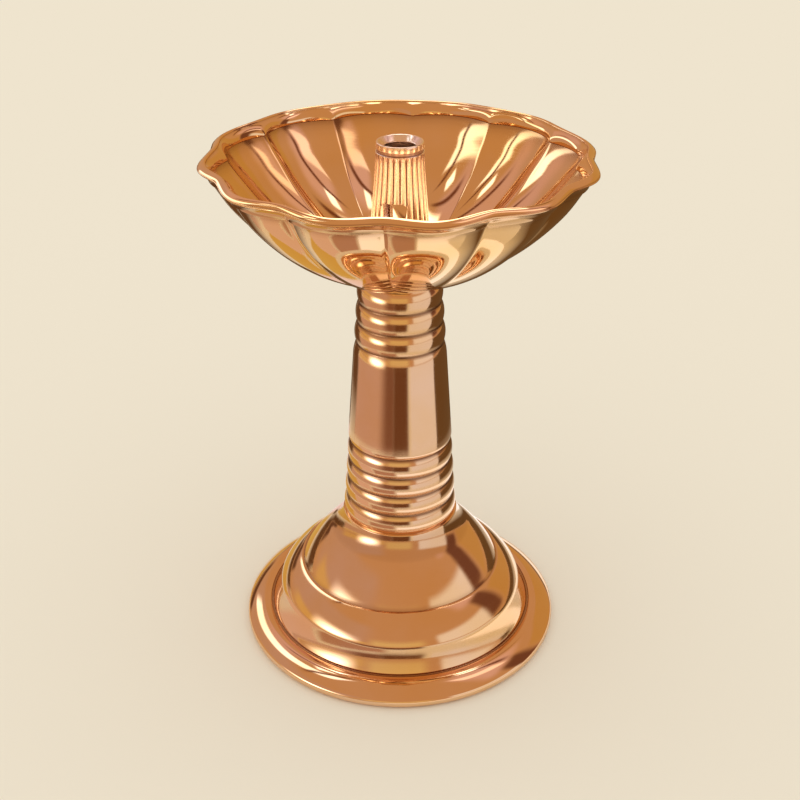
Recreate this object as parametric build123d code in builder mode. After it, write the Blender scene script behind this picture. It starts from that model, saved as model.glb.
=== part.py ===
"""Brass butter lamp: a hollow bell foot, a turned stem, a scalloped bowl that unscrews from the
stem, and a ribbed wick holder that lifts off a spigot in the middle of the bowl.

Millimetres, +Z up. The origin is on the lamp's axis, on the surface that the foot stands on.
"""
import math
import os

from build123d import *

# Foot bell, from the flange's edge inwards and upwards
foot_radius = 36.8
foot_edge_radius = 1.2
foot_ring_width = 5.0
flange_round_width = 2.8
flange_round_height = 2.9
flange_round_bulge = 0.5
flange_land_width = 2.9
flange_land_rise = 0.4
groove_width = 0.6
groove_depth = 0.5
skirt_width = 2.2
skirt_height = 5.7
skirt_hollow = 0.25
lower_swell_width = 5.0
lower_swell_height = 5.5
lower_swell_bulge = 0.45
ridge_width = 0.5
upper_swell_height = 8.3
upper_swell_bulge = 0.35
neck_flare_width = 3.1
neck_flare_height = 5.4
neck_flare_hollow = 0.6
bell_wall = 2.0
bell_web = 3.0

# Stem, a cone with bead rings cut into both ends
stem_foot_radius = 13.0
stem_top_radius = 9.0
stem_ledge = 0.1
bead_groove_depth = 0.55
lower_bead_count = 4
lower_bead_pitch = 4.65
upper_bead_count = 3
upper_bead_pitch = 4.7
plain_stem_length = 24.3
upper_shoulder_height = 3.0
lower_shoulder_height = 1.4
spigot_radius = 6.0
spigot_length = 1.8
spigot_end_gap = 0.2
spigot_fit = 0.05

# Screw thread shared by the bolt and the stud
thread_radius = 3.0
thread_pitch = 1.0
thread_clearance = 0.05
hex_across_flats = 10.0
hex_sides = 6
bolt_hole_clearance = 0.3
drill_run_out = 2.0

# Stem bolt with its washers
bolt_head_height = 4.0
bolt_grip_in_stem = 9.0
flat_washer_radius = 9.0
flat_washer_thickness = 1.6
spring_washer_radius = 5.6
spring_washer_thickness = 1.6
spring_washer_slit = 1.0

# Seat between stem and bowl, and the stud that joins them
seat_washer_width = 2.2
seat_washer_thickness = 0.7
stud_nut_height = 3.2
stud_nut_clearance = 0.5
bowl_screw_turns = 8
stud_flange_radius = 7.0
stud_flange_thickness = 2.0
sealing_washer_overhang = 0.5
sealing_washer_thickness = 0.8

# Bowl
bowl_foot_radius = 9.3
bowl_height = 26.9
rim_radius = 40.3
bowl_sag = 3.3
bowl_wall = 1.4
lip_height = 3.6
lip_flare = 2.0
lip_curl = 0.35
lobe_count = 12
lobe_depth = 2.0
lobe_foot_depth = 0.15
crease_angle = 25.5
body_station_count = 7

# Wick holder
wick_bore_radius = 3.3
wick_bore_length = 10.8
oil_chamber_radius = 3.9
oil_chamber_height = 10.3
holder_spigot_radius = 4.6
holder_spigot_height = 3.5
holder_socket_play = 0.2
holder_fit = 0.05
holder_top_radius = 4.8
holder_foot_radius = 6.6
holder_collar_height = 1.3
holder_neck_depth = 0.35
holder_neck_height = 0.7
holder_mouth_chamfer = 0.5
rib_count = 24
rib_groove_radius = 0.45
window_width = 5.6
window_height = 9.2
window_corner_radius = 1.2
window_rise = 0.5
window_angle = 255.5

# Heights up the lamp
flange_edge_z = foot_edge_radius
shoulder_z = flange_edge_z + flange_round_height
land_z = shoulder_z + flange_land_rise
skirt_top_z = land_z + skirt_height
ridge_z = skirt_top_z + lower_swell_height
neck_z = ridge_z + upper_swell_height
bell_top_z = neck_z + neck_flare_height
web_bottom_z = bell_top_z - bell_web
plain_bottom_z = bell_top_z + lower_bead_count * lower_bead_pitch
plain_top_z = plain_bottom_z + plain_stem_length
stem_top_z = plain_top_z + upper_bead_count * upper_bead_pitch
bowl_foot_z = stem_top_z + seat_washer_thickness
rim_z = bowl_foot_z + bowl_height

# Radii of the bell, chained from the flange inwards and from the stem outwards
shoulder_radius = foot_radius - flange_round_width
land_radius = shoulder_radius - flange_land_width
skirt_foot_radius = land_radius - groove_width
skirt_top_radius = skirt_foot_radius - skirt_width
ridge_radius = skirt_top_radius - lower_swell_width
bell_top_radius = stem_foot_radius + stem_ledge
neck_radius = bell_top_radius + neck_flare_width

# Shared holes and hexagons
tapped_hole_radius = thread_radius + thread_clearance
bolt_hole_radius = thread_radius + bolt_hole_clearance
hex_corner_radius = hex_across_flats / 2 / math.cos(math.pi / hex_sides)
nut_pocket_radius = hex_corner_radius + stud_nut_clearance
nut_pocket_depth = stud_nut_height + stud_nut_clearance

os.makedirs("parts", exist_ok=True)


def finish(builder, label):
    """Name a finished piece and write it as a STEP file."""
    builder.part.label = label
    export_step(builder.part, f"parts/{label}.step")


def stem_radius_at(z):
    """Radius of the plain cone that the stem is turned from."""
    share = (z - bell_top_z) / (stem_top_z - bell_top_z)
    return stem_foot_radius + (stem_top_radius - stem_foot_radius) * share


def cone_point(z, inset=0.0):
    """A point of the stem's outline, set in from the cone."""
    return (stem_radius_at(z) - inset, z)


def bead_rings(first_z, count, pitch):
    """Bead arcs, one above the other, between grooves that are cut into the cone."""
    for bead in range(count):
        low_z = first_z + bead * pitch
        ThreePointArc(
            cone_point(low_z, bead_groove_depth),
            cone_point(low_z + pitch / 2),
            cone_point(low_z + pitch, bead_groove_depth),
        )


def rounded_end(groove_z, full_z):
    """A rounded end of the plain cone, from its groove to where the cone is full.

    Half-way along, a curve that leaves the cone smoothly has a quarter of the groove's depth.
    """
    ThreePointArc(
        cone_point(groove_z, bead_groove_depth),
        cone_point((groove_z + full_z) / 2, bead_groove_depth / 4),
        cone_point(full_z),
    )


def polar_point(radius, degrees):
    """A point of a plan view, from its radius and its angle about the axis."""
    turn = math.radians(degrees)
    return (radius * math.cos(turn), radius * math.sin(turn))


# Foot bell: one casting, hollow from below
wall_shift = bell_wall * math.sqrt(0.5)
hollow_top_radius = bell_top_radius - wall_shift
with BuildPart() as base_bell:
    with BuildSketch(Plane.XZ):
        with BuildLine():
            Line((0, bell_top_z), (0, 0))
            Line((0, 0), (foot_radius - foot_edge_radius, 0))
            RadiusArc(
                (foot_radius - foot_edge_radius, 0),
                (foot_radius, flange_edge_z),
                -foot_edge_radius,
            )
            SagittaArc(
                (foot_radius, flange_edge_z),
                (shoulder_radius, shoulder_z),
                -flange_round_bulge,
            )
            Polyline(
                (shoulder_radius, shoulder_z),
                (land_radius, land_z),
                (land_radius, land_z - groove_depth),
                (skirt_foot_radius, land_z - groove_depth),
                (skirt_foot_radius, land_z),
            )
            SagittaArc((skirt_foot_radius, land_z), (skirt_top_radius, skirt_top_z), skirt_hollow)
            SagittaArc((skirt_top_radius, skirt_top_z), (ridge_radius, ridge_z), -lower_swell_bulge)
            Line((ridge_radius, ridge_z), (ridge_radius - ridge_width, ridge_z))
            SagittaArc((ridge_radius - ridge_width, ridge_z), (neck_radius, neck_z), -upper_swell_bulge)
            SagittaArc((neck_radius, neck_z), (bell_top_radius, bell_top_z), neck_flare_hollow)
            Line((bell_top_radius, bell_top_z), (0, bell_top_z))
        make_face()
    revolve(axis=Axis.Z)
    with BuildSketch(Plane.XZ):
        with BuildLine():
            Polyline(
                (0, 0),
                (foot_radius - foot_ring_width, 0),
                (foot_radius - foot_ring_width, land_z - groove_depth - bell_wall),
                (skirt_foot_radius - wall_shift, land_z - wall_shift),
                (skirt_top_radius - wall_shift, skirt_top_z - wall_shift),
                (ridge_radius - wall_shift, ridge_z - wall_shift),
                (neck_radius - wall_shift, neck_z - wall_shift),
                (hollow_top_radius, web_bottom_z),
                (0, web_bottom_z),
                close=True,
            )
        make_face()
    revolve(axis=Axis.Z, mode=Mode.SUBTRACT)
    with Locations((0, 0, bell_top_z)):
        CounterBoreHole(
            radius=bolt_hole_radius,
            counter_bore_radius=spigot_radius + spigot_fit,
            counter_bore_depth=spigot_length + spigot_end_gap,
        )
finish(base_bell, "base_bell")

# Stem: a cone with bead rings, a spigot below and a nut pocket above
with BuildPart() as stem:
    with BuildSketch(Plane.XZ):
        with BuildLine():
            Polyline(
                (0, stem_top_z),
                (0, bell_top_z - spigot_length),
                (spigot_radius, bell_top_z - spigot_length),
                (spigot_radius, bell_top_z),
                cone_point(bell_top_z, bead_groove_depth),
            )
            bead_rings(bell_top_z, lower_bead_count, lower_bead_pitch)
            rounded_end(plain_bottom_z, plain_bottom_z + lower_shoulder_height)
            Line(
                cone_point(plain_bottom_z + lower_shoulder_height),
                cone_point(plain_top_z - upper_shoulder_height),
            )
            rounded_end(plain_top_z, plain_top_z - upper_shoulder_height)
            bead_rings(plain_top_z, upper_bead_count, upper_bead_pitch)
            Line(cone_point(stem_top_z, bead_groove_depth), (0, stem_top_z))
        make_face()
    revolve(axis=Axis.Z)
    with Locations((0, 0, stem_top_z)):
        CounterBoreHole(
            radius=tapped_hole_radius,
            counter_bore_radius=nut_pocket_radius,
            counter_bore_depth=nut_pocket_depth,
            depth=nut_pocket_depth + bowl_screw_turns * thread_pitch + drill_run_out,
        )
    with Locations(Location((0, 0, bell_top_z - spigot_length), (180, 0, 0))):
        Hole(radius=tapped_hole_radius, depth=bolt_grip_in_stem + spigot_length + drill_run_out)
finish(stem, "stem")

# Flat washer, spring washer and bolt, stacked under the bell's web
flat_washer_z = web_bottom_z - flat_washer_thickness
with BuildPart() as flat_washer:
    with BuildSketch(Plane.XY.offset(flat_washer_z)):
        Circle(flat_washer_radius)
        Circle(bolt_hole_radius, mode=Mode.SUBTRACT)
    extrude(amount=flat_washer_thickness)
finish(flat_washer, "flat_washer")

spring_washer_z = flat_washer_z - spring_washer_thickness
with BuildPart() as spring_washer:
    with BuildSketch(Plane.XY.offset(spring_washer_z)):
        Circle(spring_washer_radius)
        Circle(bolt_hole_radius, mode=Mode.SUBTRACT)
        with Locations((spring_washer_radius, 0)):
            Rectangle(2 * spring_washer_radius, spring_washer_slit, mode=Mode.SUBTRACT)
    extrude(amount=spring_washer_thickness)
finish(spring_washer, "spring_washer")

bolt_head_z = spring_washer_z - bolt_head_height
with BuildPart() as stem_bolt:
    with BuildSketch(Plane.XY.offset(bolt_head_z)):
        RegularPolygon(hex_corner_radius, hex_sides)
    extrude(amount=bolt_head_height)
    with BuildSketch(Plane.XY.offset(spring_washer_z)):
        Circle(thread_radius)
    extrude(amount=bell_top_z + bolt_grip_in_stem - spring_washer_z)
finish(stem_bolt, "stem_bolt")

# Seat washer between the stem's top bead and the bowl
with BuildPart() as seat_washer:
    with BuildSketch(Plane.XY.offset(stem_top_z)):
        Circle(nut_pocket_radius + seat_washer_width)
        Circle(nut_pocket_radius, mode=Mode.SUBTRACT)
    extrude(amount=seat_washer_thickness)
finish(seat_washer, "seat_washer")

# Bowl: the wall follows one arc from the flat underside to the lip, which flares out from it
lip_foot_radius = rim_radius - lip_flare
lip_foot_z = rim_z - lip_height
chord_width = lip_foot_radius - bowl_foot_radius
chord_rise = lip_foot_z - bowl_foot_z
chord_length = math.hypot(chord_width, chord_rise)
bowl_curve_radius = (chord_length**2 / 4 + bowl_sag**2) / (2 * bowl_sag)
centre_offset = bowl_curve_radius - bowl_sag
curve_centre_radius = (bowl_foot_radius + lip_foot_radius) / 2 - centre_offset * chord_rise / chord_length
curve_centre_z = (bowl_foot_z + lip_foot_z) / 2 + centre_offset * chord_width / chord_length
curve_start = math.atan2(bowl_foot_z - curve_centre_z, bowl_foot_radius - curve_centre_radius)
curve_end = math.atan2(lip_foot_z - curve_centre_z, lip_foot_radius - curve_centre_radius)


def wall_point(share, inset):
    """A point of the bowl's wall, by its share of the way up and its depth in from the outside."""
    turn = curve_start + (curve_end - curve_start) * share
    reach = bowl_curve_radius - inset
    return (curve_centre_radius + reach * math.cos(turn), curve_centre_z + reach * math.sin(turn))


def side_profile(inset):
    """Stations of one side of the bowl: up the wall's curve, then out along the flared lip."""
    steps = range(body_station_count)
    wall = [wall_point(step / (body_station_count - 1), inset) for step in steps]
    foot_r, foot_z = wall[-1]
    top_r = rim_radius - inset
    middle_r = (foot_r + top_r) / 2 - lip_curl
    return wall + [(middle_r, (foot_z + rim_z) / 2), (top_r, rim_z)]


def lobed_face(radius, z, inset):
    """One level of the bowl: arcs between creases that deepen from the foot to the rim."""
    foot_r = wall_point(0.0, inset)[0]
    share = (radius - foot_r) / (rim_radius - inset - foot_r)
    depth = lobe_foot_depth + (lobe_depth - lobe_foot_depth) * share
    step = 360 / lobe_count
    with BuildSketch(Plane.XY.offset(z)) as level:
        with BuildLine():
            for lobe in range(lobe_count):
                angle = crease_angle + lobe * step
                ThreePointArc(
                    polar_point(radius - depth, angle),
                    polar_point(radius, angle + step / 2),
                    polar_point(radius - depth, angle + step),
                )
        make_face()
    return level.sketch


with BuildPart() as bowl:
    loft([lobed_face(r, z, 0.0) for r, z in side_profile(0.0)])
    loft([lobed_face(r, z, bowl_wall) for r, z in side_profile(bowl_wall)], mode=Mode.SUBTRACT)
    with Locations((0, 0, rim_z)):
        Hole(radius=bolt_hole_radius)
finish(bowl, "bowl")

# Sealing washer, stud and nut that clamp the bowl's floor
bowl_floor_z = wall_point(0.0, bowl_wall)[1]
with BuildPart() as sealing_washer:
    with BuildSketch(Plane.XY.offset(bowl_floor_z)):
        Circle(stud_flange_radius + sealing_washer_overhang)
        Circle(bolt_hole_radius, mode=Mode.SUBTRACT)
    extrude(amount=sealing_washer_thickness)
finish(sealing_washer, "sealing_washer")

stud_flange_z = bowl_floor_z + sealing_washer_thickness
holder_foot_z = stud_flange_z + stud_flange_thickness
stud_end_z = stem_top_z - nut_pocket_depth - bowl_screw_turns * thread_pitch
with BuildPart() as bowl_stud:
    with BuildSketch(Plane.XY.offset(stud_end_z)):
        Circle(thread_radius)
    extrude(amount=stud_flange_z - stud_end_z)
    with BuildSketch(Plane.XY.offset(stud_flange_z)):
        Circle(stud_flange_radius)
    extrude(amount=stud_flange_thickness)
    with BuildSketch(Plane.XY.offset(holder_foot_z)):
        Circle(holder_spigot_radius)
    extrude(amount=holder_spigot_height)
finish(bowl_stud, "bowl_stud")

with BuildPart() as stud_nut:
    with BuildSketch(Plane.XY.offset(bowl_foot_z - stud_nut_height)):
        RegularPolygon(hex_corner_radius, hex_sides)
        Circle(tapped_hole_radius, mode=Mode.SUBTRACT)
    extrude(amount=stud_nut_height)
finish(stud_nut, "stud_nut")

# Wick holder: socket below, oil chamber behind the windows, wick bore above
chamber_bottom_z = holder_foot_z + holder_spigot_height + holder_socket_play
chamber_top_z = chamber_bottom_z + oil_chamber_height
holder_top_z = chamber_top_z + wick_bore_length
collar_z = holder_top_z - holder_collar_height
neck_bottom_z = collar_z - holder_neck_height
window_z = chamber_bottom_z + window_rise + window_height / 2


def holder_radius_at(z):
    """Radius of the holder's plain tapered outside."""
    share = (z - holder_foot_z) / (holder_top_z - holder_foot_z)
    return holder_foot_radius + (holder_top_radius - holder_foot_radius) * share


rib_foot = Vector(holder_foot_radius, 0, holder_foot_z)
rib_end = Vector(holder_radius_at(neck_bottom_z), 0, neck_bottom_z)
with BuildPart() as rib_groove:
    with BuildSketch(Plane(origin=rib_foot, z_dir=rib_end - rib_foot)):
        Circle(rib_groove_radius)
    extrude(amount=(rib_end - rib_foot).length)

window_turn = math.radians(window_angle)
window_plane = Plane(
    origin=(0, 0, window_z),
    x_dir=(-math.sin(window_turn), math.cos(window_turn), 0),
    z_dir=(math.cos(window_turn), math.sin(window_turn), 0),
)
with BuildPart() as wick_holder:
    with BuildSketch(Plane.XZ):
        with BuildLine():
            Polyline(
                (holder_spigot_radius + holder_fit, holder_foot_z),
                (holder_foot_radius, holder_foot_z),
                (holder_radius_at(neck_bottom_z), neck_bottom_z),
                (holder_radius_at(neck_bottom_z) - holder_neck_depth, neck_bottom_z),
                (holder_radius_at(collar_z) - holder_neck_depth, collar_z),
                (holder_radius_at(collar_z), collar_z),
                (holder_top_radius, holder_top_z),
                (wick_bore_radius + holder_mouth_chamfer, holder_top_z),
                (wick_bore_radius, holder_top_z - holder_mouth_chamfer),
                (wick_bore_radius, chamber_top_z),
                (oil_chamber_radius, chamber_top_z),
                (oil_chamber_radius, chamber_bottom_z),
                (holder_spigot_radius + holder_fit, chamber_bottom_z),
                close=True,
            )
        make_face()
    revolve(axis=Axis.Z)
    with PolarLocations(0, rib_count):
        add(rib_groove.part, mode=Mode.SUBTRACT)
    with BuildSketch(window_plane):
        RectangleRounded(window_width, window_height, window_corner_radius)
    extrude(amount=holder_foot_radius, both=True, mode=Mode.SUBTRACT)
finish(wick_holder, "wick_holder")

print("lamp height", round(holder_top_z, 3), "rim height", round(rim_z, 3), "bowl floor", round(bowl_floor_z, 3))
print("holder foot", round(holder_foot_z, 3), "chamber top", round(chamber_top_z, 3), "stud end", stud_end_z)
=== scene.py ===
"""Looks of the brass butter lamp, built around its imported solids.

Every shape is turned about the lamp's axis in millimetres, then written to its mesh in metres.
"""
import math

import bmesh
import bpy
from mathutils import Matrix, Vector


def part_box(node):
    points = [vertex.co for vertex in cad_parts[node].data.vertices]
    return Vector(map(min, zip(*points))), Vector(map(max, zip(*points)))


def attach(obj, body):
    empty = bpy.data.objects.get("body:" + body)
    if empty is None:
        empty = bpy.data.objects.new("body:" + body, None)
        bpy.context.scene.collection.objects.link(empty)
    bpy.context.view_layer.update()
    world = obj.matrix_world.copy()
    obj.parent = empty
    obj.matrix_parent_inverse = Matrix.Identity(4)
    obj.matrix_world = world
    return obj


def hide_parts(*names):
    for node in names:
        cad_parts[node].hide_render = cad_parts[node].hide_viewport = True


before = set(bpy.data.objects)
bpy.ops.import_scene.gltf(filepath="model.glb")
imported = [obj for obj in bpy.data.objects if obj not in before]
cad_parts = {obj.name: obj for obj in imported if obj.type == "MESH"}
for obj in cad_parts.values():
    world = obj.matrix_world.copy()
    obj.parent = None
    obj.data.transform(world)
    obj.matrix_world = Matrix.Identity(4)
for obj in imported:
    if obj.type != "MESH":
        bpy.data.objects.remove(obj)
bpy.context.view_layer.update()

MM = 0.001
FULL_TURN = 2 * math.pi


def low(node, axis=2):
    """Lowest coordinate of a solid, in millimetres."""
    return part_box(node)[0][axis] / MM


def high(node, axis=2):
    """Highest coordinate of a solid, in millimetres."""
    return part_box(node)[1][axis] / MM


# Foot bell; a bulge or swell is how far an arc stands out from its chord, and a hollow how far it falls in
foot_radius = high("base_bell", 0)
bell_top_z = high("base_bell")
foot_edge_radius = 1.2
foot_ring_width = 5.0
flange_shoulder = (36.4, 2.2)
flange_edge_bulge = 0.12
flange_crown = (33.0, 4.3)
flange_crown_bulge = 0.16
flange_inner_radius = 31.1
flange_inner_z = 4.5
flange_inner_drop = 0.3
flange_inner_bulge = 0.18
groove_width = 0.6
groove_depth = 0.5
skirt_top = (28.3, 10.2)
skirt_hollow = 0.25
ridge = (23.3, 15.7)
ridge_width = 0.5
lower_swell = 0.45
neck = (16.2, 24.0)
upper_swell = 0.35
neck_hollow = 0.6
bell_top_radius = 13.1
bell_wall = 2.0
bell_web = 3.0
bell_corner_radius = 0.25

# Stem
stem_top_z = high("stem")
stem_end_z = low("stem")
stem_foot_radius = 13.0
stem_top_radius = 9.0
stem_groove_depth = 0.55
lower_bead_count = 4
lower_bead_pitch = 4.65
upper_bead_count = 3
upper_bead_pitch = 4.7
upper_shoulder_height = 3.0
lower_shoulder_height = 1.4
shoulder_bulge = 0.12
spigot_radius = 6.0
spigot_clearance = 0.05
spigot_end_gap = 0.2
bolt_hole_depth = 12.8
nut_pocket_radius = 6.2735
nut_pocket_depth = 3.7
stud_hole_depth = 13.7

# Threads, hexagons and washers
thread_radius = 3.0
thread_pitch = 1.0
thread_depth = 0.55
thread_clearance = 0.05
thread_tip = 0.8
tapped_radius = thread_radius + thread_clearance
bolt_hole_radius = 3.3
hex_flat = 5.0
hex_corner_radius = hex_flat / math.cos(math.pi / 6)
hex_face_radius = 0.95 * hex_flat
hex_chamfer = 0.8
nut_countersink = 0.3
stud_spigot_radius = 4.6
stud_corner_radius = 0.3
spring_washer_slit = 1.0
spring_washer_corner = 0.15
flat_washer_corner = 0.25
seat_washer_corner = 0.2
sealing_washer_corner = 0.35

# Bowl
bowl_foot_z = low("bowl")
rim_z = high("bowl")
bowl_foot_radius = 9.3
rim_radius = 40.3
bowl_sag = 3.3
bowl_wall = 1.4
bowl_corner_radius = 0.1
lip_height = 3.6
lip_flare = 2.0
lip_curl = 0.35
lip_step = 0.3
lip_step_run = 7.0
rim_bevel_width = 1.2
rim_bevel_drop = 0.95
rim_bevel_bulge = 0.1 * rim_bevel_width
rim_edge = 0.3
rim_edge_draw = 0.4 * rim_edge
rim_edge_bulge = 0.2 * rim_edge
rim_inner_width = 0.4
rim_inner_bulge = 0.29 * rim_inner_width
lobe_count = 12
rim_wave_depth = 1.5
rim_wave_drop = 0.35
flute_depth = 2.4
flute_power = 0.8
lobe_foot_depth = 0.15
crease_angle = math.radians(25.5)

# Wick holder
holder_foot_z = low("wick_holder")
holder_top_z = high("wick_holder")
holder_foot_radius = 6.6
holder_top_radius = 4.8
holder_corner_radius = 0.3
wick_bore_radius = 3.3
wick_bore_length = 10.8
oil_chamber_radius = 3.9
socket_radius = 4.65
socket_depth = 3.7
collar_height = 1.3
collar_z = holder_top_z - collar_height
holder_neck_height = 0.7
holder_neck_depth = 0.35
holder_neck_z = collar_z - holder_neck_height
mouth_flare = 1.1
rib_count = 24
rib_depth = 0.4
rib_roundness = 0.92
rib_run_out = 1.2
chamber_z = holder_foot_z + socket_depth
window_width = 5.6
window_height = 9.2
window_corner_radius = 1.2
window_rise = 0.5
window_angle = math.radians(255.5)

# How finely the shapes are divided: steps round the axis, a lobe, a rib, a pitch of thread and a corner
BELL_STEPS = 192
STEM_STEPS = 160
FITTING_STEPS = 96
LOBE_STEPS = 36
RIB_STEPS = 12
THREAD_STEPS = 8
CORNER_STEPS = 4

# Distances that count as none: between points that are merged, at a limit, and from the ribbed outside
MERGE_DISTANCE = 1e-4
SLACK = 1e-3
OUTSIDE_SLACK = 0.05

# A corner that turns by more than this angle is rounded, within this share of the sides that meet there
CORNER_TURN = math.radians(18)
CORNER_SHARE = 0.45

# Angles, in degrees, past which an edge is drawn sharp on a turned, a cut and a threaded piece
TURNED_EDGE = 50
CUT_EDGE = 40
THREADED_EDGE = 28


# Outlines, as (radius, height) points

def arc_centre(start, end, rise):
    """Centre and radius of the arc that bulges by rise to the right of the way from start to end."""
    chord = Vector(end) - Vector(start)
    radius = (chord.length_squared / 4 + rise * rise) / (2 * rise)
    sideways = Vector((chord.y, -chord.x)).normalized()
    return (Vector(start) + Vector(end)) / 2 + sideways * (rise - radius), radius


def arc(start, end, rise, steps):
    """Points of an arc after its start; rise is how far it bulges to the right of its path."""
    centre, radius = arc_centre(start, end, rise)
    spoke = Vector(start) - centre
    half_chord = (Vector(end) - Vector(start)).length / 2
    sweep = 2 * math.asin(min(1.0, half_chord / abs(radius))) * math.copysign(1.0, rise)
    turns = [Matrix.Rotation(sweep * step / steps, 2) for step in range(1, steps + 1)]
    return [tuple(centre + turned @ spoke) for turned in turns]


def line(start, end, steps):
    """Evenly spaced points after start."""
    return [tuple(Vector(start).lerp(Vector(end), step / steps)) for step in range(1, steps + 1)]


def soften(points, radius, closed=True):
    """The outline with each sharp turn rounded."""
    made = []
    count = len(points)
    for i, point in enumerate(points):
        here = Vector(point)
        if not closed and i in (0, count - 1):
            made.append(tuple(here))
            continue
        back = Vector(points[i - 1]) - here
        on = Vector(points[(i + 1) % count]) - here
        bend = math.pi - back.angle(on)
        if bend < CORNER_TURN:
            made.append(tuple(here))
            continue
        reach = min(radius * math.tan(bend / 2), CORNER_SHARE * back.length, CORNER_SHARE * on.length)
        start = here + back.normalized() * reach
        end = here + on.normalized() * reach
        for step in range(CORNER_STEPS + 1):
            t = step / CORNER_STEPS
            made.append(tuple(start * (1 - t) ** 2 + here * 2 * t * (1 - t) + end * t * t))
    return made


# Turning and shaping

def close_seams(bm):
    """Merges the points that lie on each other and turns all faces outwards."""
    bmesh.ops.remove_doubles(bm, verts=bm.verts, dist=MERGE_DISTANCE)
    bmesh.ops.recalc_face_normals(bm, faces=bm.faces)


def turn(points, steps):
    """A bmesh turned about the lamp's axis; an outline that doesn't start on the axis is closed."""
    bm = bmesh.new()
    verts = [bm.verts.new((radius, 0.0, z)) for radius, z in points]
    following = verts[1:] + verts[:1] if points[0][0] > 0 else verts[1:]
    for first, second in zip(verts, following):
        bm.edges.new((first, second))
    bmesh.ops.spin(
        bm,
        geom=bm.verts[:] + bm.edges[:],
        cent=(0, 0, 0),
        axis=(0, 0, 1),
        angle=FULL_TURN,
        steps=steps,
        use_merge=True,
    )
    close_seams(bm)
    return bm


def reshape(bm, new_radius):
    """Moves every vertex along its radius, to new_radius(radius, angle, z)."""
    for vert in bm.verts:
        radius = vert.co.xy.length
        if radius > SLACK:
            angle = math.atan2(vert.co.y, vert.co.x)
            vert.co.xy = vert.co.xy * (new_radius(radius, angle, vert.co.z) / radius)


def ease(start, end, value):
    """0 before start and 1 after end, with a smooth way between."""
    share = max(0.0, min(1.0, (value - start) / (end - start)))
    return share * share * (3 - 2 * share)


def across(angle, count, first_turn=0.0):
    """Where an angle lies in one of count equal sectors: 0 in its middle, 1 at its edges."""
    place = ((angle - first_turn) / FULL_TURN * count) % 1.0
    return abs(place - 0.5) * 2


def mark_nooks(bm):
    """Stores how much the surface folds inwards, where polish doesn't reach and tarnish stays; the materials
    also paint shade into these folds.
    """
    passes = 2
    kept_share = 0.9
    layer = bm.verts.layers.float.new("nook")
    for vert in bm.verts:
        folds = [-e.calc_face_angle_signed(0.0) for e in vert.link_edges if len(e.link_faces) == 2]
        vert[layer] = max(0.0, min(1.0, sum(f for f in folds if f > 0)))
    for _ in range(passes):
        spread = [sum(e.other_vert(v)[layer] for e in v.link_edges) / len(v.link_edges) for v in bm.verts]
        for vert, value in zip(bm.verts, spread):
            vert[layer] = max(kept_share * vert[layer], value)


def place_piece(name, bm, body, node, material, sharp_degrees=TURNED_EDGE):
    """Writes a bmesh to an object in metres that rides on its body and stands for its solid."""
    mark_nooks(bm)
    bmesh.ops.scale(bm, vec=(MM, MM, MM), verts=bm.verts)
    mesh = bpy.data.meshes.new(name)
    bm.to_mesh(mesh)
    bm.free()
    mesh.shade_smooth()
    mesh.set_sharp_from_angle(angle=math.radians(sharp_degrees))
    mesh.materials.append(material)
    piece = bpy.data.objects.new(name, mesh)
    bpy.context.scene.collection.objects.link(piece)
    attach(piece, body)
    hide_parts(node)


# Materials

# What all metals share: the size of a cloud in millimetres, and the part of each pattern's range that counts
CLOUD_SIZE = 16.0
CLOUD_RANGE = (0.35, 0.65)
NOOK_RANGE = (0.05, 0.6)
# How far the nooks darken, as tarnish and painted shade
TARNISH_AND_SHADE_COVER = 0.75
POLISH_RANGE = (0.1, 0.45)
TARNISH_ROUGHNESS = 0.25
# Tool lines are spaced by height plus this share of the radius, so that flat faces have them too
RADIUS_SHARE = 0.7


def linear(colour):
    """An sRGB hex colour as linear RGBA."""
    shares = [int(colour[i:i + 2], 16) / 255 for i in (1, 3, 5)]
    return [s / 12.92 if s <= 0.04045 else ((s + 0.055) / 1.055) ** 2.4 for s in shares] + [1.0]


def add_node(tree, kind, inputs=None, **settings):
    """Adds a node with its settings; an input is a value, or another node's output to link."""
    made = tree.nodes.new(kind)
    for name, value in settings.items():
        setattr(made, name, value)
    for name, value in (inputs or {}).items():
        if isinstance(value, bpy.types.NodeSocket):
            tree.links.new(value, made.inputs[name])
        else:
            made.inputs[name].default_value = value
    return made


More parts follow.
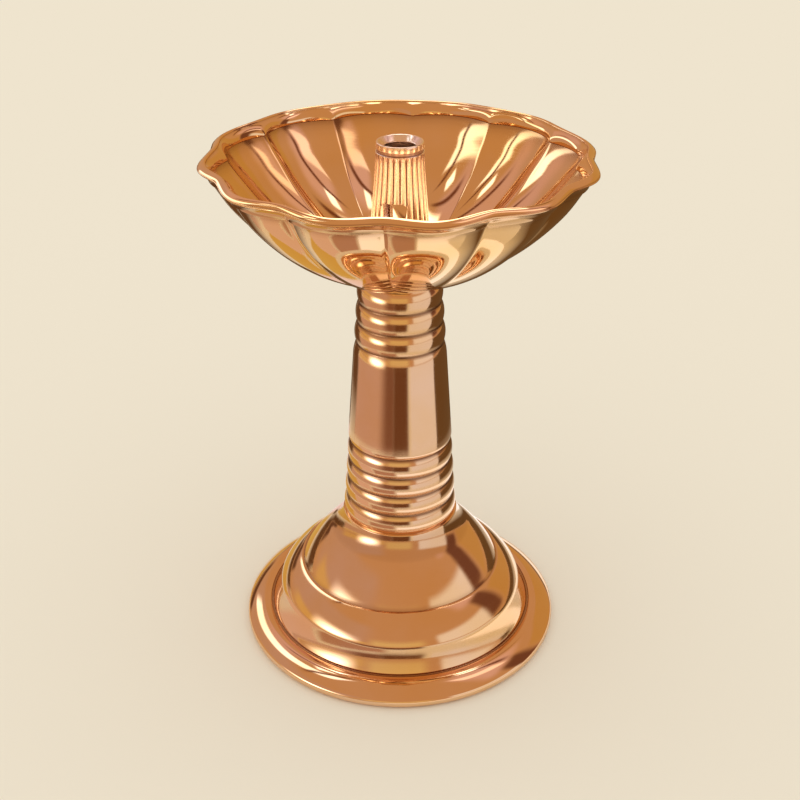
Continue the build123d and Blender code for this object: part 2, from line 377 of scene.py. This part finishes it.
def worked_metal(name, tones, tarnish_and_shade, roughness, lines, waves):
    """A metal with two tones that cloud into each other, tool lines round the axis and a dark colour in its
    nooks that is tarnish and painted shade.

    roughness is the range between the best and the worst polished spots. lines and waves each give a spacing
    and a depth in millimetres. The tool lines are coarser than real ones, so that they show.
    """
    line_pitch, line_depth = lines
    wave_size, wave_depth = waves
    material = bpy.data.materials.new(name)
    material.use_nodes = True
    tree = material.node_tree
    tree.nodes.clear()
    place = add_node(tree, "ShaderNodeTexCoord").outputs["Object"]
    place_mm = add_node(
        tree, "ShaderNodeVectorMath", {0: place, "Scale": 1 / MM}, operation="SCALE"
    ).outputs[0]
    parts = add_node(tree, "ShaderNodeSeparateXYZ", {0: place_mm}).outputs
    flat = add_node(tree, "ShaderNodeCombineXYZ", {"X": parts["X"], "Y": parts["Y"]}).outputs[0]
    radius = add_node(tree, "ShaderNodeVectorMath", {0: flat}, operation="LENGTH").outputs["Value"]
    along = add_node(
        tree, "ShaderNodeMath", {0: radius, 1: RADIUS_SHARE, 2: parts["Z"]}, operation="MULTIPLY_ADD"
    ).outputs[0]
    tool_lines = add_node(
        tree,
        "ShaderNodeTexNoise",
        {"W": along, "Scale": 1 / line_pitch, "Detail": 2.0},
        noise_dimensions="1D",
    ).outputs[0]
    cloud = add_node(
        tree, "ShaderNodeTexNoise", {"Vector": place_mm, "Scale": 1 / CLOUD_SIZE, "Detail": 3.0}
    ).outputs[0]
    wave = add_node(
        tree, "ShaderNodeTexNoise", {"Vector": place_mm, "Scale": 1 / wave_size, "Detail": 1.0}
    ).outputs[0]
    cloud_share = add_node(
        tree, "ShaderNodeMapRange", {"Value": cloud, "From Min": CLOUD_RANGE[0], "From Max": CLOUD_RANGE[1]}
    ).outputs[0]
    nook = add_node(tree, "ShaderNodeAttribute", attribute_name="nook").outputs["Fac"]
    tarnish_and_shade_share = add_node(
        tree,
        "ShaderNodeMapRange",
        {"Value": nook, "From Min": NOOK_RANGE[0], "From Max": NOOK_RANGE[1], "To Max": TARNISH_AND_SHADE_COVER},
    ).outputs[0]
    clean = add_node(
        tree, "ShaderNodeMix", {0: cloud_share, 6: linear(tones[0]), 7: linear(tones[1])}, data_type="RGBA"
    ).outputs[2]
    # Painted shade: the dark nook colour darkens the folds where shade falls, together with tarnish
    colour = add_node(
        tree, "ShaderNodeMix", {0: tarnish_and_shade_share, 6: clean, 7: linear(tarnish_and_shade)}, data_type="RGBA"
    ).outputs[2]
    polish = add_node(tree, "ShaderNodeMath", {0: cloud, 1: tool_lines}, operation="MULTIPLY").outputs[0]
    rough = add_node(
        tree,
        "ShaderNodeMapRange",
        {
            "Value": polish,
            "From Min": POLISH_RANGE[0],
            "From Max": POLISH_RANGE[1],
            "To Min": roughness[0],
            "To Max": roughness[1],
        },
    ).outputs[0]
    rough_all = add_node(
        tree, "ShaderNodeMath", {0: tarnish_and_shade_share, 1: TARNISH_ROUGHNESS, 2: rough}, operation="MULTIPLY_ADD"
    ).outputs[0]
    lines_mm = add_node(
        tree, "ShaderNodeMath", {0: tool_lines, 1: line_depth}, operation="MULTIPLY"
    ).outputs[0]
    height_mm = add_node(
        tree, "ShaderNodeMath", {0: wave, 1: wave_depth, 2: lines_mm}, operation="MULTIPLY_ADD"
    ).outputs[0]
    bump = add_node(tree, "ShaderNodeBump", {"Height": height_mm, "Strength": 1.0, "Distance": MM}).outputs[0]
    shader = add_node(
        tree,
        "ShaderNodeBsdfPrincipled",
        {"Base Color": colour, "Metallic": 1.0, "Roughness": rough_all, "Normal": bump},
    ).outputs[0]
    add_node(tree, "ShaderNodeOutputMaterial", {"Surface": shader})
    return material


# Cast brass, buffed on a wheel: a warm mirror that wavers slightly where the casting isn't quite even
cast_brass = worked_metal(
    "polished_cast_brass",
    tones=("#f0cba9", "#efc594"),
    tarnish_and_shade="#7a4526",
    roughness=(0.04, 0.12),
    lines=(0.5, 0.0006),
    waves=(9.0, 0.03),
)
# The bowl is buffed most: the sharpest mirror on the lamp
bowl_brass = worked_metal(
    "buffed_bowl_brass",
    tones=("#f2cca2", "#f2c78c"),
    tarnish_and_shade="#7a4526",
    roughness=(0.03, 0.09),
    lines=(0.5, 0.0004),
    waves=(8.0, 0.03),
)
# Brass turned on a lathe and polished while it spins: fine rings blur the mirror along the stem
turned_brass = worked_metal(
    "turned_polished_brass",
    tones=("#f0cbac", "#eec496"),
    tarnish_and_shade="#6e3d22",
    roughness=(0.07, 0.17),
    lines=(0.32, 0.0012),
    waves=(14.0, 0.012),
)
# The ribbed tube is cast and only brushed over: soft shine on the ribs, brown grooves of tarnish and painted
# shade. Its tones are paler than the rest of the brass: painted light, for the bright light that the tube
# catches
lightened_holder_brass = worked_metal(
    "brushed_cast_brass_painted_light",
    tones=("#fdeee4", "#f9e2d0"),
    tarnish_and_shade="#8a4520",
    roughness=(0.14, 0.26),
    lines=(0.4, 0.0008),
    waves=(5.0, 0.012),
)
# Machined brass fittings, left as they came off the lathe: yellower, with rings that dull the shine
fitting_brass = worked_metal(
    "machined_brass",
    tones=("#dcb574", "#d2a866"),
    tarnish_and_shade="#6b4a26",
    roughness=(0.16, 0.3),
    lines=(0.25, 0.003),
    waves=(12.0, 0.004),
)
# Annealed copper that took the print of its seat: reddish and satin
seal_copper = worked_metal(
    "annealed_copper",
    tones=("#d68f72", "#c57f63"),
    tarnish_and_shade="#6a3426",
    roughness=(0.22, 0.38),
    lines=(0.3, 0.002),
    waves=(4.0, 0.01),
)
# Zinc-plated steel: grey, slightly cloudy, faintly blue
zinc_steel = worked_metal(
    "zinc_plated_steel",
    tones=("#c3c5c8", "#b2b4b9"),
    tarnish_and_shade="#5d5a55",
    roughness=(0.24, 0.38),
    lines=(0.3, 0.002),
    waves=(6.0, 0.006),
)


# Pieces

def build_base_bell():
    """Hollow cast foot: rounded flange, groove, skirt and two swells up to a flared neck."""
    wall_shift = bell_wall * math.sqrt(0.5)
    quarter_bulge = foot_edge_radius * (1 - math.sqrt(0.5))
    skirt_foot = (flange_inner_radius - groove_width, flange_inner_z)
    flange_inner = (flange_inner_radius, flange_inner_z - flange_inner_drop)
    groove_z = flange_inner_z - groove_depth
    ridge_inner = (ridge[0] - ridge_width, ridge[1])
    outside = [(foot_radius - foot_edge_radius, 0.0)]
    outside += arc(outside[-1], (foot_radius, foot_edge_radius), quarter_bulge, steps=6)
    outside += arc(outside[-1], flange_shoulder, flange_edge_bulge, steps=6)
    outside += arc(outside[-1], flange_crown, flange_crown_bulge, steps=10)
    outside += arc(outside[-1], flange_inner, flange_inner_bulge, steps=6)
    outside += [(flange_inner_radius, groove_z), (skirt_foot[0], groove_z), skirt_foot]
    outside += arc(skirt_foot, skirt_top, -skirt_hollow, steps=8)
    outside += arc(skirt_top, ridge, lower_swell, steps=10)
    outside += [ridge_inner]
    outside += arc(ridge_inner, neck, upper_swell, steps=12)
    outside += arc(neck, (bell_top_radius, bell_top_z), -neck_hollow, steps=10)
    bore_radius = spigot_radius + spigot_clearance
    bore_z = stem_end_z - spigot_end_gap
    web_z = bell_top_z - bell_web
    inside = [
        (bore_radius, bell_top_z),
        (bore_radius, bore_z),
        (bolt_hole_radius, bore_z),
        (bolt_hole_radius, web_z),
        (bell_top_radius - wall_shift, web_z),
    ]
    inside += [(radius - wall_shift, z - wall_shift) for radius, z in (neck, ridge, skirt_top, skirt_foot)]
    inside += [
        (foot_radius - foot_ring_width, groove_z - bell_wall),
        (foot_radius - foot_ring_width, 0.0),
    ]
    bm = turn(soften(outside + inside, bell_corner_radius), BELL_STEPS)
    place_piece("foot_bell", bm, "stand", "base_bell", cast_brass)


def stem_radius_at(z):
    """Radius of the plain cone that the stem is turned from."""
    share = (z - bell_top_z) / (stem_top_z - bell_top_z)
    return stem_foot_radius + (stem_top_radius - stem_foot_radius) * share


def stem_groove(z):
    """The bottom of a groove between two beads."""
    return (stem_radius_at(z) - stem_groove_depth, z)


def beads(first_z, count, pitch):
    """Bead arcs one above the other, from the groove at first_z."""
    made = []
    for bead in range(count):
        low_z = first_z + bead * pitch
        made += arc(stem_groove(low_z), stem_groove(low_z + pitch), stem_groove_depth, steps=12)
    return made


def build_stem():
    """Turned column: bead rings at both ends of a plain cone, tapped from below and from above."""
    plain_bottom_z = bell_top_z + lower_bead_count * lower_bead_pitch
    plain_top_z = stem_top_z - upper_bead_count * upper_bead_pitch
    full_low = plain_bottom_z + lower_shoulder_height
    full_high = plain_top_z - upper_shoulder_height
    outline = [
        (0.0, stem_end_z + bolt_hole_depth),
        (tapped_radius, stem_end_z + bolt_hole_depth),
        (tapped_radius, stem_end_z),
        (spigot_radius, stem_end_z),
        (spigot_radius, bell_top_z),
        stem_groove(bell_top_z),
    ]
    outline += beads(bell_top_z, lower_bead_count, lower_bead_pitch)
    outline += arc(outline[-1], (stem_radius_at(full_low), full_low), shoulder_bulge, steps=8)
    outline += line(outline[-1], (stem_radius_at(full_high), full_high), steps=8)
    outline += arc(outline[-1], stem_groove(plain_top_z), shoulder_bulge, steps=8)
    outline += beads(plain_top_z, upper_bead_count, upper_bead_pitch)
    outline += [
        (nut_pocket_radius, stem_top_z),
        (nut_pocket_radius, stem_top_z - nut_pocket_depth),
        (tapped_radius, stem_top_z - nut_pocket_depth),
        (tapped_radius, stem_top_z - stud_hole_depth),
        (0.0, stem_top_z - stud_hole_depth),
    ]
    bm = turn(outline, STEM_STEPS)
    place_piece("turned_stem", bm, "stand", "stem", turned_brass)


def rim_wave(place):
    """0 in the middle of a lobe and 1 at the crease, as a smooth wave."""
    return (1 - math.cos(math.pi * place)) / 2


def scallop(radius, angle, z):
    """Lobes of the bowl: flutes with a ridge between them, which ease into a shallower wave at the rim."""
    share = max(0.0, min(1.0, (radius - bowl_foot_radius) / (rim_radius - bowl_foot_radius)))
    place = across(angle, lobe_count, crease_angle)
    flute = (lobe_foot_depth + (flute_depth - lobe_foot_depth) * share**flute_power) * place * place
    at_rim = ease(rim_z - lip_height, rim_z, z)
    return radius - flute * (1 - at_rim) - rim_wave_depth * rim_wave(place) * at_rim


def bend_rim(bm):
    """Lets the rim hang a little in the middle of each lobe."""
    for vert in bm.verts:
        place = across(math.atan2(vert.co.y, vert.co.x), lobe_count, crease_angle)
        at_rim = ease(rim_z - lip_height, rim_z, vert.co.z)
        vert.co.z -= rim_wave_drop * (1 - rim_wave(place)) * at_rim


def build_bowl():
    """Scalloped bowl: one curve up to a lip that flares from it and stands proud of it on both sides."""
    foot = (bowl_foot_radius, bowl_foot_z)
    lip_foot = (rim_radius - lip_flare, rim_z - lip_height)
    wall_curve = [foot] + arc(foot, lip_foot, bowl_sag, steps=30)
    centre, curve_radius = arc_centre(foot, lip_foot, bowl_sag)

    def moved_in(point, depth):
        return tuple(centre + (Vector(point) - centre) * (1 - depth / curve_radius))

    def wall_line(depth, step):
        to_lip = [(Vector(lip_foot) - Vector(point)).length for point in wall_curve]
        depths = [depth + step * ease(lip_step_run, 0.0, distance) for distance in to_lip]
        return [moved_in(point, here) for point, here in zip(wall_curve, depths)]

    outer_wall = wall_line(0.0, lip_step)
    inner_wall = wall_line(bowl_wall, -lip_step)
    rim_shoulder = (rim_radius - rim_edge_draw, rim_z - rim_bevel_drop)
    rim_outer = (rim_radius, rim_shoulder[1] - rim_edge)
    rim_top = (rim_shoulder[0] - rim_bevel_width, rim_z)
    rim_inner = (rim_top[0] - rim_inner_width, rim_z - rim_inner_width)
    outline = [(bolt_hole_radius, bowl_foot_z)] + outer_wall + [lip_foot]
    outline += arc(lip_foot, rim_outer, -lip_curl, steps=8)
    outline += arc(rim_outer, rim_shoulder, rim_edge_bulge, steps=4)
    outline += arc(rim_shoulder, rim_top, rim_bevel_bulge, steps=10)
    outline += arc(rim_top, rim_inner, rim_inner_bulge, steps=6)
    outline += arc(rim_inner, moved_in(lip_foot, bowl_wall), lip_curl, steps=8)
    outline += inner_wall[::-1]
    outline += [(bolt_hole_radius, inner_wall[0][1])]
    bm = turn(soften(outline, bowl_corner_radius), lobe_count * LOBE_STEPS)
    reshape(bm, scallop)
    bend_rim(bm)
    place_piece("scalloped_bowl", bm, "bowl", "bowl", bowl_brass)


def holder_radius_at(z):
    """Radius of the wick holder's tapered outside."""
    share = (z - holder_foot_z) / (holder_top_z - holder_foot_z)
    return holder_foot_radius + (holder_top_radius - holder_foot_radius) * share


def ribs(radius, angle, z):
    """Round ribs up the outside of the wick holder, which run out under its collar."""
    if z > holder_neck_z or abs(radius - holder_radius_at(z)) > OUTSIDE_SLACK:
        return radius
    place = rib_roundness * across(angle, rib_count)
    groove = (1 - math.sqrt(1 - place * place)) / (1 - math.sqrt(1 - rib_roundness**2))
    return radius - rib_depth * groove * ease(holder_neck_z, holder_neck_z - rib_run_out, z)


def window_cutter():
    """A bar with the window's rounded section, right through the wick holder."""
    bm = bmesh.new()
    length = 4 * holder_foot_radius
    middle_z = chamber_z + window_rise + window_height / 2
    block = Matrix.Diagonal((length, window_width, window_height, 1.0))
    bmesh.ops.create_cube(bm, size=1.0, matrix=block)
    sides = [e for e in bm.edges if abs((e.verts[0].co - e.verts[1].co).x) > length / 2]
    bmesh.ops.bevel(
        bm,
        geom=sides,
        offset=window_corner_radius,
        offset_type="OFFSET",
        segments=6,
        profile=0.5,
        affect="EDGES",
        material=-1,
    )
    bmesh.ops.rotate(bm, verts=bm.verts, matrix=Matrix.Rotation(window_angle, 3, "Z"))
    bmesh.ops.translate(bm, verts=bm.verts, vec=(0, 0, middle_z))
    return bm


def cut(bm, cutter):
    """Takes the cutter's space out of a bmesh."""
    made = []
    for part in (bm, cutter):
        mesh = bpy.data.meshes.new("cut")
        part.to_mesh(mesh)
        part.free()
        made.append(bpy.data.objects.new("cut", mesh))
        bpy.context.scene.collection.objects.link(made[-1])
    boolean = made[0].modifiers.new("cut", "BOOLEAN")
    boolean.operation = "DIFFERENCE"
    boolean.solver = "EXACT"
    boolean.object = made[1]
    graph = bpy.context.evaluated_depsgraph_get()
    result = bmesh.new()
    result.from_mesh(made[0].evaluated_get(graph).to_mesh())
    for spent in made:
        bpy.data.objects.remove(spent)
    return result


def build_wick_holder():
    """Tapered ribbed tube with a collar, an open mouth and two windows into its oil chamber."""
    chamber_top_z = holder_top_z - wick_bore_length
    outline = [(socket_radius, holder_foot_z), (holder_foot_radius, holder_foot_z)]
    outline += line(outline[-1], (holder_radius_at(holder_neck_z), holder_neck_z), steps=40)
    outline += [
        (holder_radius_at(holder_neck_z) - holder_neck_depth, holder_neck_z),
        (holder_radius_at(collar_z) - holder_neck_depth, collar_z),
        (holder_radius_at(collar_z), collar_z),
        (holder_top_radius, holder_top_z),
        (wick_bore_radius + mouth_flare, holder_top_z),
        (wick_bore_radius, holder_top_z - mouth_flare),
        (wick_bore_radius, chamber_top_z),
        (oil_chamber_radius, chamber_top_z),
        (oil_chamber_radius, chamber_z),
        (socket_radius, chamber_z),
    ]
    bm = turn(soften(outline, holder_corner_radius), rib_count * RIB_STEPS)
    reshape(bm, ribs)
    bm = cut(bm, window_cutter())
    place_piece(
        "ribbed_wick_holder", bm, "wick_holder", "wick_holder", lightened_holder_brass, CUT_EDGE
    )


def hexagon(low_z, high_z):
    """A shaping rule that cuts what lies between two heights to a hexagon."""
    def clip(radius, angle, z):
        if not low_z - SLACK <= z <= high_z + SLACK:
            return radius
        limit = hex_flat / math.cos((angle % (math.pi / 3)) - math.pi / 6)
        return min(radius, limit)
    return clip


def thread(low_z, high_z):
    """A shaping rule that cuts a right-hand thread between two heights."""
    def cut_thread(radius, angle, z):
        if not low_z <= z <= high_z or radius > thread_radius + SLACK:
            return radius
        phase = (z / thread_pitch - angle / FULL_TURN) % 1.0
        return min(radius, thread_radius - thread_depth * abs(2 * phase - 1))
    return cut_thread


def thread_side(start, end):
    """Points after start, close enough together for a thread to be cut into them."""
    return line(start, end, int((end[1] - start[1]) / thread_pitch * THREAD_STEPS))


def hex_side(low_z, high_z, both_ends):
    """Outline up a hexagon's side, with the cone that chamfers its corners below or at both ends."""
    low_end = (hex_face_radius, low_z)
    made = [low_end] + line(low_end, (hex_corner_radius, low_z + hex_chamfer), steps=6)
    if not both_ends:
        return made + [(hex_corner_radius, high_z)]
    side_top = (hex_corner_radius, high_z - hex_chamfer)
    return made + [side_top] + line(side_top, (hex_face_radius, high_z), steps=6)


def build_stem_bolt():
    """Hexagon bolt with a rolled thread, from inside the bell up into the stem."""
    head_z = low("stem_bolt")
    end_z = high("stem_bolt")
    under_z = low("spring_washer")
    outline = [(0.0, head_z)] + hex_side(head_z, under_z, both_ends=False)
    outline += [(thread_radius, under_z)]
    outline += thread_side(outline[-1], (thread_radius, end_z - thread_tip))
    outline += [(thread_radius - thread_tip, end_z), (0.0, end_z)]
    bm = turn(outline, FITTING_STEPS)
    reshape(bm, hexagon(head_z, under_z))
    reshape(bm, thread(under_z + thread_pitch, end_z))
    place_piece("stem_bolt_zinc", bm, "stand", "stem_bolt", zinc_steel, THREADED_EDGE)


def build_bowl_stud():
    """Turned stud: thread below, flange on the sealing washer, spigot for the wick holder."""
    end_z = low("bowl_stud")
    flange_z = high("sealing_washer")
    top_z = high("bowl_stud")
    flange_radius = high("bowl_stud", 1)
    outline = [(0.0, end_z), (thread_radius - thread_tip, end_z), (thread_radius, end_z + thread_tip)]
    outline += thread_side(outline[-1], (thread_radius, flange_z))
    head = [
        outline[-1],
        (flange_radius, flange_z),
        (flange_radius, holder_foot_z),
        (stud_spigot_radius, holder_foot_z),
        (stud_spigot_radius, top_z),
        (0.0, top_z),
    ]
    outline += soften(head, stud_corner_radius, closed=False)[1:]
    bm = turn(outline, FITTING_STEPS)
    reshape(bm, thread(end_z, bowl_foot_z))
    place_piece("flanged_bowl_stud", bm, "bowl", "bowl_stud", fitting_brass, THREADED_EDGE)


def build_stud_nut():
    """Thin hexagon nut that clamps the stud under the bowl's floor."""
    low_z = low("stud_nut")
    high_z = high("stud_nut")
    mouth_radius = tapped_radius + nut_countersink
    outline = [(mouth_radius, low_z)] + hex_side(low_z, high_z, both_ends=True)
    outline += [
        (mouth_radius, high_z),
        (tapped_radius, high_z - nut_countersink),
        (tapped_radius, low_z + nut_countersink),
    ]
    bm = turn(outline, FITTING_STEPS)
    reshape(bm, hexagon(low_z, high_z))
    place_piece("stud_nut_brass", bm, "bowl", "stud_nut", fitting_brass, THREADED_EDGE)


def ring_section(inner_radius, node, corner):
    """Section of a washer as wide and as high as its solid, with rounded edges."""
    outer_radius = high(node, 1)
    corners = [
        (inner_radius, low(node)),
        (outer_radius, low(node)),
        (outer_radius, high(node)),
        (inner_radius, high(node)),
    ]
    return soften(corners, corner)


def build_spring_washer():
    """Split ring: its two ends stand a slit apart."""
    bm = bmesh.new()
    outline = ring_section(bolt_hole_radius, "spring_washer", spring_washer_corner)
    end = bm.faces.new([bm.verts.new((radius, 0.0, z)) for radius, z in outline])
    gap = spring_washer_slit / (bolt_hole_radius + high("spring_washer", 1)) * 2
    bmesh.ops.rotate(bm, verts=bm.verts, matrix=Matrix.Rotation(gap / 2, 3, "Z"))
    bmesh.ops.spin(
        bm,
        geom=[end] + list(end.edges) + list(end.verts),
        cent=(0, 0, 0),
        axis=(0, 0, 1),
        angle=FULL_TURN - gap,
        steps=FITTING_STEPS,
    )
    close_seams(bm)
    place_piece(
        "split_spring_washer", bm, "stand", "spring_washer", zinc_steel, CUT_EDGE
    )


def build_washers():
    """The plain rings: under the bolt, under the bowl and under the stud's flange."""
    flat = turn(ring_section(bolt_hole_radius, "flat_washer", flat_washer_corner), FITTING_STEPS)
    place_piece("flat_washer_zinc", flat, "stand", "flat_washer", zinc_steel)
    seat = turn(ring_section(nut_pocket_radius, "seat_washer", seat_washer_corner), FITTING_STEPS)
    place_piece("seat_washer_brass", seat, "seat", "seat_washer", fitting_brass)
    sealing = turn(ring_section(bolt_hole_radius, "sealing_washer", sealing_washer_corner), FITTING_STEPS)
    place_piece("sealing_washer_copper", sealing, "bowl", "sealing_washer", seal_copper)


build_base_bell()
build_stem()
build_bowl()
build_wick_holder()
build_stem_bolt()
build_bowl_stud()
build_stud_nut()
build_spring_washer()
build_washers()


# Studio, in metres and degrees

FLOOR_COLOUR = "#efe4ce"
FLOOR_HALF_WIDTH = 3.0
CAMERA_PLACE = (0.0, -0.2366, 0.1886)
CAMERA_DIP = 29.08
SENSOR_MM = 36.0
LENS_MM = 54.78
CARD_STEPS = (64, 16)


def seen_directly(tree):
    """1 for what the camera, a mirror or a clear material sees, 0 for the light that a surface gathers."""
    path = add_node(tree, "ShaderNodeLightPath").outputs
    seen = add_node(
        tree, "ShaderNodeMath", {0: path["Is Camera Ray"], 1: path["Is Glossy Ray"]}, operation="MAXIMUM"
    ).outputs[0]
    return add_node(
        tree, "ShaderNodeMath", {0: seen, 1: path["Is Transmission Ray"]}, operation="MAXIMUM"
    ).outputs[0]


def build_world():
    """Even white light from all round; the camera and the metal see the floor's pale colour."""
    world = bpy.data.worlds.new("studio")
    bpy.context.scene.world = world
    world.use_nodes = True
    tree = world.node_tree
    tree.nodes.clear()
    light = add_node(tree, "ShaderNodeBackground", {"Color": (1, 1, 1, 1), "Strength": 1.0}).outputs[0]
    pale = add_node(
        tree, "ShaderNodeBackground", {"Color": linear(FLOOR_COLOUR), "Strength": 1.0}
    ).outputs[0]
    both = add_node(tree, "ShaderNodeMixShader", {0: seen_directly(tree), 1: light, 2: pale}).outputs[0]
    add_node(tree, "ShaderNodeOutputWorld", {"Surface": both})


def build_floor():
    """A plain pale floor, wide enough to fill the picture."""
    bm = bmesh.new()
    bmesh.ops.create_grid(bm, x_segments=1, y_segments=1, size=FLOOR_HALF_WIDTH)
    mesh = bpy.data.meshes.new("floor")
    bm.to_mesh(mesh)
    bm.free()
    # Matt paper: no shine at all, so that the lamp leaves only a soft shadow on it
    material = bpy.data.materials.new("pale_paper")
    material.use_nodes = True
    paper = material.node_tree.nodes["Principled BSDF"].inputs
    paper["Base Color"].default_value = linear(FLOOR_COLOUR)
    paper["Roughness"].default_value = 0.9
    paper["Specular IOR Level"].default_value = 0.0
    mesh.materials.append(material)
    floor = bpy.data.objects.new("floor", mesh)
    bpy.context.scene.collection.objects.link(floor)


def build_camera():
    """The photograph's view: from the front and above, with a short telephoto lens."""
    data = bpy.data.cameras.new("camera")
    data.sensor_width = SENSOR_MM
    data.lens = LENS_MM
    camera = bpy.data.objects.new("camera", data)
    camera.location = CAMERA_PLACE
    camera.rotation_euler = (math.radians(90 - CAMERA_DIP), 0.0, 0.0)
    bpy.context.scene.collection.objects.link(camera)
    bpy.context.scene.camera = camera


def fade(share, soft):
    """1 inside a card and 0 at its edges, where the fade takes a share of its size."""
    return ease(0.0, soft, min(share, 1 - share)) if soft else 1.0


def build_card(name, azimuths, section, colour, strength, soft):
    """A card round the lamp that only the metal sees.

    Azimuths are counted from the camera's side, to its right. section gives a radius and a height for the
    shares of the way round the card and up it. soft is the share of the card, round the lamp and along its
    section, over which its edges fade out.
    """
    bm = bmesh.new()
    bmesh.ops.create_grid(bm, x_segments=CARD_STEPS[0], y_segments=CARD_STEPS[1], size=0.5)
    cover = bm.verts.layers.float.new("cover")
    for vert in bm.verts:
        round_share, up_share = vert.co.x + 0.5, vert.co.y + 0.5
        vert[cover] = fade(round_share, soft[0]) * fade(up_share, soft[1])
        angle = math.radians(azimuths[0] + (azimuths[1] - azimuths[0]) * round_share - 90)
        radius, z = section(round_share, up_share)
        vert.co = (radius * math.cos(angle), radius * math.sin(angle), z)
    mesh = bpy.data.meshes.new(name)
    bm.to_mesh(mesh)
    bm.free()
    material = bpy.data.materials.new(name)
    material.use_nodes = True
    tree = material.node_tree
    tree.nodes.clear()
    share = add_node(tree, "ShaderNodeAttribute", attribute_name="cover").outputs["Fac"]
    clear = add_node(tree, "ShaderNodeBsdfTransparent").outputs[0]
    glow = add_node(tree, "ShaderNodeEmission", {"Color": linear(colour), "Strength": strength}).outputs[0]
    both = add_node(tree, "ShaderNodeMixShader", {0: share, 1: clear, 2: glow}).outputs[0]
    add_node(tree, "ShaderNodeOutputMaterial", {"Surface": both})
    mesh.materials.append(material)
    card = bpy.data.objects.new(name, mesh)
    card.visible_camera = False
    card.visible_diffuse = False
    card.visible_shadow = False
    bpy.context.scene.collection.objects.link(card)


def standing(distance, low_degrees, high_degrees, lean_degrees=0):
    """Section of a card that stands round the lamp, between two elevations, and may lean to one side."""
    def section(round_share, up_share):
        degrees = low_degrees + (high_degrees - low_degrees) * up_share + lean_degrees * round_share
        elevation = math.radians(degrees)
        return distance * math.cos(elevation), distance * math.sin(elevation)
    return section


def lying(inner, outer, z):
    """Section of a card that lies on the floor, between two distances from the lamp."""
    def section(round_share, up_share):
        return inner + (outer - inner) * up_share, z
    return section


# Four dark slats between the high soft boxes break up the shine inside the bowl
slat = (standing(0.495, 44, 82), "#84492a", 0.7, (0.45, 0.25))

# Each card's name, azimuths, section, colour, strength and soft edges
CARDS = (
    # The tent, and the panels in it that give the foot and the stem their broad tones
    ("tent", (-180, 180), standing(0.80, 0, 90), "#cca077", 1.0, (0, 0)),
    ("left_panel", (-160, -20), standing(0.72, 0, 48), "#c9a590", 1.0, (0.15, 0.2)),
    ("left_gold_panel", (-118, -20), standing(0.71, 0, 16), "#ddb877", 1.0, (0.15, 0.35)),
    ("left_pink", (-154, -104), standing(0.70, 28, 74), "#d9b1a8", 1.0, (0.25, 0.25)),
    ("right_pink", (64, 130), standing(0.70, 40, 76), "#e2bab2", 1.0, (0.25, 0.25)),
    ("right_gold", (104, 178), standing(0.66, 0, 34), "#c99d5d", 1.0, (0.12, 0.12)),
    ("pale_panel", (30, 90), standing(0.62, 0, 30), "#f6efec", 1.0, (0.1, 0.2)),
    ("dark_post", (82, 109), standing(0.60, 3, 47), "#764d3a", 1.0, (0.3, 0.15)),
    ("dark_left", (-156, -128), standing(0.60, 0, 9), "#6b4a35", 0.9, (0.2, 0.3)),
    ("gold_panel", (-30, 26), standing(0.60, 0, 28), "#e2c68c", 1.0, (0.2, 0.3)),
    # Soft boxes and strips: the white streaks in the bowl, on the flange and on the beads
    ("left_soft_box", (-108, -95), standing(0.50, 59, 69), "#ffffff", 2.4, (0.25, 0.2)),
    ("left_slat_1", (-91, -82), *slat),
    ("left_slat_2", (-124, -115), *slat),
    ("right_slat_1", (99, 108), *slat),
    ("right_slat_2", (130, 139), *slat),
    ("left_strip_box", (-140, -72), standing(0.50, 9, 23, 53), "#ffffff", 2.0, (0.08, 0.2)),
    ("right_soft_box", (104, 124), standing(0.50, 63, 72), "#ffffff", 2.2, (0.2, 0.25)),
    ("right_strip_box", (70, 100), standing(0.51, 63, 75, -20), "#fbe2da", 1.5, (0.15, 0.25)),
    ("front_soft_box", (-84, -30), standing(0.27, 0, 25), "#ffffff", 4.5, (0.5, 0.5)),
    ("top_soft_box", (128, 232), standing(0.50, 60, 88), "#fff6f2", 3.6, (0.1, 0.15)),
    # Cloths on the floor, and in front a dark painted shadow: what the stem and the underside of the bowl see
    ("left_cloth", (-118, -14), lying(0.100, 0.30, 0.0002), "#cda894", 1.0, (0.02, 0.01)),
    ("left_gold_cloth", (-118, -14), lying(0.26, 0.8, 0.0003), "#dfbd84", 1.0, (0.02, 0.15)),
    ("left_brown", (-154, -112), lying(0.095, 0.8, 0.0003), "#7a5638", 0.7, (0.2, 0.01)),
    ("right_cloth", (23, 86), lying(0.080, 0.8, 0.0003), "#eee6e4", 1.0, (0.02, 0.01)),
    ("back_dark", (84, 210), lying(0.057, 0.8, 0.0004), "#785a38", 0.8, (0.01, 0.01)),
    # Painted shadow: front_shade and front_dark are dark sheets for the shade on the floor in front of the
    # lamp, which the stem shows as a dark band
    ("front_shade", (-52, 6), lying(0.080, 0.8, 0.0004), "#835a44", 1.0, (0.45, 0.02)),
    ("front_dark", (-18, 22), lying(0.075, 0.8, 0.0006), "#70482e", 1.0, (0.2, 0.02)),
    ("near_left_pale", (-186, -150), lying(0.043, 0.096, 0.0005), "#f4dcd8", 1.0, (0.1, 0.05)),
    ("near_left_gold", (-154, -94), lying(0.043, 0.090, 0.0006), "#dcb561", 0.95, (0.1, 0.05)),
    ("near_left_pink", (-100, -60), lying(0.043, 0.099, 0.0007), "#e2bfac", 1.0, (0.1, 0.05)),
    ("near_front", (-62, -6), lying(0.043, 0.080, 0.0008), "#b98e76", 1.0, (0.15, 0.05)),
    ("near_right", (-8, 180), lying(0.043, 0.061, 0.0005), "#fff8f4", 1.25, (0.02, 0.05)),
)

build_world()
build_floor()
build_camera()
for card_values in CARDS:
    build_card(*card_values)
bpy.context.scene.view_settings.view_transform = "Standard"
